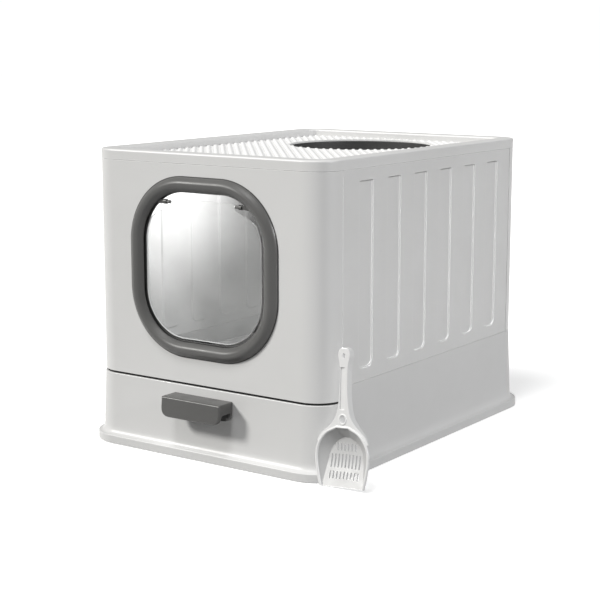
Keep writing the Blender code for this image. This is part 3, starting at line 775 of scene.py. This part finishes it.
def step_deck():
    """Perforated plate: domes and holes take turns, so both run in diagonal lines."""
    z0, z1, px, py = mat_lo.z, mat_hi.z, 0.0061, 0.0076
    hx, hy = mat_hi.x, mat_hi.y
    outline = rounded(hx, hy, CORNER_R - 0.0233, 8)
    r_exit = EXIT_R + 0.0005
    holes, domes = [], []
    nx, ny = int(hx / px), int(hy / py)

    def clear(x, y, room):
        if abs(x) > hx - room or abs(y) > hy - room:
            return False
        if abs(x) > hx - 0.0117 and abs(y) > hy - 0.0117:
            return math.hypot(abs(x) - hx + 0.0117, abs(y) - hy + 0.0117) < 0.0117 - room
        return math.hypot(x, y - EXIT_Y) > r_exit + room
    for j in range(-ny, ny + 1):
        for i in range(-nx, nx + 1):
            x, y = i * px, j * py
            if (i + j) % 2 == 0 and clear(x, y, 0.0032):
                domes.append((x, y))
            if (i + j) % 2 and clear(x, y, 0.0036):
                holes.append((x, y))

    def ring(cx, cy, r, n):
        return [(cx + r * math.cos(2 * math.pi * (i + 0.5) / n),
                 cy + r * math.sin(2 * math.pi * (i + 0.5) / n))
                for i in range(n)]
    exit_ring = [(r_exit * math.cos(2 * math.pi * i / 96), EXIT_Y + r_exit * math.sin(2 * math.pi * i / 96))
                 for i in range(96)]
    big, small = 0.0024, 0.0020
    tops = [ring(x, y, big, 8) for x, y in holes]
    lows = [ring(x, y, small, 8) for x, y in holes]
    solids = [sheet_with_holes(outline, tops + [exit_ring], lambda p: (p[0], p[1], z1)),
              sheet_with_holes(outline, lows + [exit_ring], lambda p: (p[0], p[1], z0)),
              loft([[(x, y, z) for x, y in outline] for z in (z0, z1)], caps=False),
              loft([[(x, y, z) for x, y in exit_ring] for z in (z0, z1)], caps=False)]
    for wide, narrow in zip(tops, lows):
        solids.append(loft([[(x, y, z1) for x, y in wide], [(x, y, z1 - 0.0005) for x, y in narrow],
                            [(x, y, z0) for x, y in narrow]], caps=False))
    bumps = []
    for x, y in domes:
        steps = [(0.00265, z1 - 0.0002), (0.00250, z1 + 0.00055), (0.00210, z1 + 0.00115),
                 (0.00150, z1 + 0.00150), (0.00070, z1 + 0.00165)]
        bumps.append(loft([[(u, v, z) for u, v in ring(x, y, r, 10)] for r, z in steps]))
    build("step_deck", solids + bumps, "cover", [DECK], ["step_mat"], sharp=45)


def exit_collar():
    r, z1 = EXIT_R, collar_hi.z
    profile = soft([(r, collar_lo.z, 0.0008), (r, z1, 0.0008), (r + 0.0064, z1, 0.0006),
                    (r + 0.0064, 0.3638, 0.0006), (r + 0.0026, 0.3636, 0.0012),
                    (r + 0.0024, collar_lo.z, 0.0008)], 4)
    # The collar takes the darker grey copy, a painted shade.
    build("exit_collar", [turned(profile, 0.0, EXIT_Y, 128)], "cover", [DARK_IN],
          ["roof_collar"])


# ---- door -------------------------------------------------------------------------------------
def door_ring(profile, y0, sign):
    """Sweep (inset, proud) points between the outer and the inner outline of the surround."""
    loops, span = [], RING_W - OPEN_HALF
    for d, proud in profile:
        u = d / span
        hw, hh = RING_W - d, RING_H + (OPEN_HALF - RING_H) * u
        r = RING_R + (OPEN_R - RING_R) * u
        loops.append([(x, y0 + sign * proud, z + DOOR_Z) for x, z in rounded(hw, hh, r, 24)])
    return loft(loops, closed=True)


def door():
    p, w = ring_hi.y - ring_lo.y, RING_W - OPEN_HALF
    crown = soft([(0.0, 0.0, 0.0002), (0.0012, p * 0.26, 0.0014), (0.0056, p * 0.66, 0.0022),
                  (0.0088, p * 0.80, 0.0022), (0.0138, p * 0.72, 0.0026), (0.0186, p * 0.30, 0.0022),
                  (w - 0.0010, p * 0.12, 0.0006), (w - 0.0010, 0.0, 0.0002)], 5)
    # A thin near-black band at the surround's outer edge: painted shade for the crease against the wall.
    shade_band = [(-0.0008, 0.0), (-0.0008, 0.0004), (0.0016, 0.0004), (0.0016, 0.0)]
    v, f = door_ring(shade_band, ring_hi.y, -1)
    build("door_surround", [door_ring(crown, ring_hi.y, -1), (v, f, [1] * len(f))], "cabinet",
          [RING, PAINTED_SHADE], ["door_ring_outer"], 50)
    q = inner_hi.y - inner_lo.y
    back = soft([(0.004, 0.0, 0.0004), (0.004, 0.0034, 0.0012), (0.0075, q, 0.0020), (w - 0.0035, q, 0.0020),
                 (w, 0.0028, 0.0012), (w, 0.0, 0.0004)], 5)
    # The backing ring takes the darker grey copy, a painted shade.
    build("door_backing_ring", [door_ring(back, inner_lo.y, 1)], "cabinet", [DARK_IN],
          ["door_ring_inner"], 50)
    for side, s in (("left", -1), ("right", 1)):
        tube = spun(soft([(0.0021, s * 0.0555, 0.0002), (0.0030, s * 0.0555, 0.0006),
                          (0.0030, s * 0.0605, 0.0006), (0.0021, s * 0.0605, 0.0002)], 3), PIVOT_Y, PIVOT_Z)
        y0, y1 = -HALF_D + 0.00005, -HALF_D + WALL - 0.00005
        tab = plate(soft([(s * 0.0597, PIVOT_Z - 0.0020, 0.0008), (s * 0.0695, PIVOT_Z - 0.0031, 0.0008),
                          (s * 0.0695, PIVOT_Z + 0.0031, 0.0008), (s * 0.0597, PIVOT_Z + 0.0020, 0.0008)], 3),
                    "y", y0, y1, 0.0003)
        build("pivot_lug_" + side, [tube, tab], "cabinet", [DARK], ["pivot_boss_" + side])
        pin = soft([(0.0, s * 0.0500, 0.0), (0.0020, s * 0.0500, 0.0005), (0.0020, s * 0.0593, 0.0005),
                    (0.0, s * 0.0593, 0.0)], 3)
        loops = [[(x, PIVOT_Y + r * math.cos(math.pi * i / 12), PIVOT_Z + r * math.sin(math.pi * i / 12))
                  for i in range(24)] for r, x in pin if r > 0]
        build("flap_stub_" + side, [loft(loops)], "flap", [DARK], ["flap_pin_" + side])


def flap():
    """Clear sheet whose edge faces take a whiter, less see-through copy of the clear material, a painted
    highlight; shoulders are cut in under the pivots.
    """
    half = flap_hi.x
    r = OPEN_R - (OPEN_HALF - half)
    low = arc(-half + r, DOOR_Z - half + r, r, 180, 270, 24)
    low += arc(half - r, DOOR_Z - half + r, r, 270, 360, 24)
    up = arc(half - r, DOOR_Z + half - r, r, 0, 30, 10)
    shoulder = [(0.0755, 0.3010), (0.0700, 0.3040), (0.0615, 0.3075), (0.0560, 0.3107), (0.0525, 0.3117),
                (0.0497, 0.3127), (0.0497, 0.3213)]
    up += shoulder
    outline = low + up + [(-x, z) for x, z in reversed(up)]
    v, f = plate(outline, "y", flap_lo.y, flap_hi.y, 0.00045)
    marks = [0 if len(face) > 4 or min(v[i][2] for i in face) > 0.3003 and abs(v[face[0]][0]) < 0.0765 else 1
             for face in f]
    build("flap_sheet", [(v, f, marks)], "flap", [CLEAR, CLEAR_EDGE], ["door_flap"], 60)


# ---- scoop ------------------------------------------------------------------------------------
def spline(points, n):
    """Catmull-Rom through points, n steps a span."""
    out = []
    pts = [Vector(p) for p in points]
    pts = [pts[0] * 2 - pts[1]] + pts + [pts[-1] * 2 - pts[-2]]
    for i in range(1, len(pts) - 2):
        a, b, c, d = pts[i - 1:i + 3]
        for j in range(n):
            t = j / n
            out.append(((b * 2) + (c - a) * t + (a * 2 - b * 5 + c * 4 - d) * t * t +
                        (b * 3 - a - c * 3 + d) * t ** 3) / 2)
    out.append(pts[-2])
    return out


def tube(path, r, closed=False, n=12):
    """A round bead along a path that lies in an x-z plane."""
    loops, m = [], len(path)
    for i, p in enumerate(path):
        a = path[i - 1] if i or closed else p
        b = path[(i + 1) % m] if i < m - 1 or closed else p
        across = (b - a).normalized().cross(Vector((0, 1, 0)))
        loops.append([p + Vector((0, r * math.cos(2 * math.pi * j / n), 0)) +
                      across * (r * math.sin(2 * math.pi * j / n)) for j in range(n)])
    return loft(loops, closed)


def scoop():
    """Slotted basket with raised rolled sides and a channelled handle, stood on its lip."""
    t = 0.0022
    low = spline([(0.0298, 0.0012, 0.0), (0.0284, 0.0052, 0.0150), (0.0262, 0.0092, 0.0320),
                  (0.0228, 0.0108, 0.0470), (0.0165, 0.0112, 0.0570), (0.0062, 0.0112, 0.0630)], 4)
    rim = spline([(0.0304, 0.0, 0.0), (0.0340, 0.0, 0.0160), (0.0364, 0.0, 0.0345), (0.0342, 0.0, 0.0515),
                  (0.0246, 0.0, 0.0660), (0.0092, 0.0, 0.0745)], 4)

    def both(pts):
        return [(-p[0], p[1], p[2]) for p in pts] + [tuple(p) for p in reversed(pts)]

    def pull(p):
        k = max(0.0, min(1.0, (p[2] - 0.040) / 0.015))
        return (p[0] * (1 - t / abs(p[0])), p[1], p[2] - t * k)
    back = [(x, d + t, z) for x, d, z in both(low)]
    out, inn = both(rim), [pull(p) for p in both(rim)]
    flat = [pull(p) for p in both(low)]
    n = len(back)
    verts, faces = back + out + inn + flat, []
    for i in range(n - 1):
        for a in (0, 1, 2):
            faces.append((a * n + i, a * n + i + 1, (a + 1) * n + i + 1, (a + 1) * n + i))
    for i in range(n // 2 - 1):
        j = n - 1 - i
        faces += [(i, i + 1, j - 1, j), (3 * n + i, 3 * n + j, 3 * n + j - 1, 3 * n + i + 1)]
    faces += [(0, n, 2 * n, 3 * n), (n - 1, 4 * n - 1, 3 * n - 1, 2 * n - 1), (0, 3 * n, 4 * n - 1, n - 1)]
    # The basket takes the darker copy of the scoop plastic, a painted shade.
    ob = bare("litter_scoop", verts, faces, PAN)
    slots = ([], [])
    for z0, z1, count in ((0.0095, 0.0195, 9), (0.0230, 0.0405, 9), (0.0440, 0.0535, 6)):
        for i in range(count):
            x, h = (i - (count - 1) / 2) * 0.0048, 0.0011
            sag = 1.5 * x * x       # the rows follow a slight arch, so no slot ends are in line
            ring = arc(x, z0 + h - sag, h, 180, 360, 5) + arc(x, z1 - h - sag, h, 0, 180, 5)
            v, f = loft([[(p[0], y, p[1]) for p in ring] for y in (0.0008, 0.0200)])
            k = len(slots[0])
            slots[0].extend(v)
            slots[1].extend(tuple(q + k for q in face) for face in f)
    boolean(ob, slots, "DIFFERENCE")
    half = [tuple(p)[:2] for p in spline([(0.0352, 0.0545, 0), (0.0318, 0.0620, 0), (0.0262, 0.0680, 0),
                                          (0.0200, 0.0735, 0), (0.0145, 0.0795, 0), (0.0102, 0.0870, 0),
                                          (0.0074, 0.0980, 0), (0.0058, 0.1150, 0), (0.0054, 0.1300, 0),
                                          (0.0056, 0.1480, 0), (0.0074, 0.1570, 0), (0.0082, 0.1625, 0),
                                          (0.0070, 0.1680, 0), (0.0036, 0.1712, 0)], 3)]
    arch = [(-0.0322, 0.0540), (-0.0290, 0.0600), (-0.0235, 0.0655), (-0.0165, 0.0700), (-0.0085, 0.0727),
            (0.0, 0.0735), (0.0085, 0.0727), (0.0165, 0.0700), (0.0235, 0.0655), (0.0290, 0.0600),
            (0.0322, 0.0540)]
    stem = half + [(-x, z) for x, z in reversed(half)] + arch
    e = 0.0011
    steps = [(e, 0.0004), (0.3 * e, 0.0004 + 0.3 * e), (0.0, 0.0004 + e), (0.0, 0.0112 - e),
             (0.3 * e, 0.0112 - 0.3 * e), (e, 0.0112)]

    def deep(y, z):
        return 0.0004 + (y - 0.0004) * min(1.0, max(0.22, (z - 0.0510) / 0.0260))
    loops = [[(p[0], deep(y, p[1]), p[1]) for p in inset(stem, d)] for d, y in steps]
    bar = bare("stem", *loft(loops), BRIGHT)
    for z, rx, rz in ((0.0830, 0.0033, 0.0046), (0.1612, 0.0021, 0.0032)):
        ring = [(rx * math.cos(math.pi * i / 12), z + rz * math.sin(math.pi * i / 12)) for i in range(24)]
        boolean(bar, loft([[(p[0], y, p[1]) for p in ring] for y in (-0.010, 0.030)]), "DIFFERENCE")
    groove = soft([(0.0022, 0.0950, 0.0012), (0.0020, 0.1470, 0.0016), (-0.0046, 0.1470, 0.0016),
                   (-0.0050, 0.0950, 0.0012)], 4)
    boolean(bar, loft([[(p[0], y, p[1]) for p in groove] for y in (-0.010, 0.0019)]), "DIFFERENCE")
    ease_edges(bar, 0.0004, 48)
    ease_edges(ob, 0.0004, 48)
    absorb(ob, bar)
    edge = [Vector(((a[0] + b[0]) / 2, 0.0006, (a[2] + b[2]) / 2)) for a, b in zip(out, inn)]
    absorb(ob, bare("bead", *tube(edge, 0.0018), BRIGHT))
    eye = [Vector((0.0046 * math.cos(math.pi * i / 16), 0.0008, 0.0830 + 0.0059 * math.sin(math.pi * i / 16)))
           for i in range(32)]
    absorb(ob, bare("bead", *tube(eye, 0.0013, closed=True), BRIGHT))
    skew = Matrix(((1, 0, -0.038, 0), (0, 1, 0, 0), (0, 0, 0.945, 0), (0, 0, 0, 1)))
    lean = Matrix.Rotation(math.radians(-11.0), 4, "X") @ Matrix.Rotation(math.radians(-4.0), 4, "Y")
    ob.data.transform(lean @ skew)
    foot = min(v.co.z for v in ob.data.vertices)
    ob.data.transform(Matrix.Translation((0.2085, -0.2512, scoop_lo.z - foot)))
    finish_piece(ob, "scoop", ["scoop"], 40)


# ---- stage, light and camera ------------------------------------------------------------------
def stage():
    g = Graph("studio_floor")
    at = g("TexCoord").outputs["Object"]
    tone = g.mix(g.noise(at, 3.0, 3.0), grey3(0.90), grey3(0.915))
    g.put(g.bsdf.inputs["Base Color"], tone)
    g.bsdf.inputs["Roughness"].default_value = 0.6
    g.bsdf.inputs["Specular IOR Level"].default_value = 0.2
    g.bsdf.inputs["Emission Color"].default_value = (1, 1, 1, 1)
    g.bsdf.inputs["Emission Strength"].default_value = GLOW
    dim = g("BsdfDiffuse", {"Color": grey3(0.13)})
    first = g("LightPath").outputs["Is Diffuse Ray"]
    pick = g("MixShader", {0: first, 1: g.bsdf.outputs[0], 2: dim.outputs[0]})
    out = next(n for n in g.tree.nodes if n.type == "OUTPUT_MATERIAL")
    g.put(out.inputs["Surface"], pick.outputs[0])
    half, n = 12.0, 12
    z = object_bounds()[0].z - 0.0002
    verts = [(-half + 2 * half * i / n, -half + 2 * half * j / n, z)
             for j in range(n + 1) for i in range(n + 1)]
    faces = [(j * (n + 1) + i, j * (n + 1) + i + 1, (j + 1) * (n + 1) + i + 1, (j + 1) * (n + 1) + i)
             for j in range(n) for i in range(n)]
    floor = bare("studio_floor", verts, faces, g.mat)
    floor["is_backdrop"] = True


def sun(name, towards, strength, angle, colour=(1, 1, 1)):
    data = bpy.data.lights.new(name, "SUN")
    data.energy, data.angle, data.color = strength, math.radians(angle), colour
    ob = bpy.data.objects.new(name, data)
    ob.rotation_mode = "QUATERNION"
    ob.rotation_quaternion = Vector(towards).to_track_quat("Z", "Y")
    bpy.context.scene.collection.objects.link(ob)
    return ob


def lit_only(lamp, names, state, role="receiver"):
    """Limit a lamp's receivers, or its shadow blockers, to these pieces or to all but these."""
    group = bpy.data.collections.new(lamp.name + "_" + role)
    for name in names:
        group.objects.link(bpy.data.objects[name])
    setattr(lamp.light_linking, role + "_collection", group)
    for link in group.collection_objects:
        link.light_linking.link_state = state


def lights():
    world = bpy.data.worlds.new("studio")
    world.use_nodes = True
    tree = world.node_tree
    first = tree.nodes.new("ShaderNodeLightPath").outputs["Is Camera Ray"]
    ramp = tree.nodes.new("ShaderNodeMapRange")
    tree.links.new(first, ramp.inputs[0])
    for k, v in zip((1, 2, 3, 4), (0.0, 1.0, SKY, SKY_SEEN)):
        ramp.inputs[k].default_value = v
    tree.links.new(ramp.outputs[0], tree.nodes["Background"].inputs["Strength"])
    tree.nodes["Background"].inputs["Color"].default_value = (1, 1, 1, 1)
    bpy.context.scene.world = world
    sun("key", (-0.70, -0.72, 0.64), KEY * math.pi, 12.0, (1.0, 0.992, 0.962))
    cool = (0.992, 0.996, 1.0)
    fill = sun("fill", (1.0, -0.03, 0.42), FILL * math.pi, 9.0, cool)
    rake = sun("rake", (0.66, -0.52, 0.46), RAKE * math.pi, 7.0, cool)
    walls = ["side_wall_left", "side_wall_right"]
    lit_only(rake, walls, "INCLUDE")
    lit_only(fill, walls, "EXCLUDE")
    lit_only(fill, ["litter_scoop"], "EXCLUDE", "blocker")
    sun("overhead", (0.02, -0.44, 0.90), OVERHEAD * math.pi, 16.0)
    lit_only(cabin_lamp(), ["side_wall_left", "hood_rear_shell", "base_shell", "litter_tray"], "INCLUDE")


def cabin_lamp():
    """A soft lamp high inside the hood, which lights the side wall seen through the door."""
    data = bpy.data.lights.new("cabin", "SPOT")
    data.energy, data.spot_size, data.spot_blend = CABIN, math.radians(88), 1.0
    data.shadow_soft_size = 0.03
    ob = bpy.data.objects.new("cabin", data)
    at, aim = Vector((0.050, -0.120, 0.345)), Vector((-0.178, -0.085, 0.345))
    ob.location = at
    ob.rotation_mode = "QUATERNION"
    ob.rotation_quaternion = (at - aim).to_track_quat("Z", "Y")
    ob.visible_camera = ob.visible_glossy = False
    bpy.context.scene.collection.objects.link(ob)
    return ob



def camera():
    data = bpy.data.cameras.new("camera")
    data.lens, data.sensor_width = LENS, SENSOR
    ob = bpy.data.objects.new("camera", data)
    ob.location = CAMERA_AT
    ob.rotation_euler = (math.pi / 2 - CAMERA_PITCH, 0.0, CAMERA_YAW)
    bpy.context.scene.collection.objects.link(ob)
    bpy.context.scene.camera = ob


base_tub()
runners()
tray()
drawer_shell()
handle()
screws()
hood_front()
hood_rear()
side_wall("side_wall_right", 1, "hood_right")
side_wall("side_wall_left", -1, "hood_left")
clips()
top_rim()
step_deck()
exit_collar()
door()
flap()
scoop()
stage()
lights()
camera()
bpy.context.scene.view_settings.view_transform = "Standard"
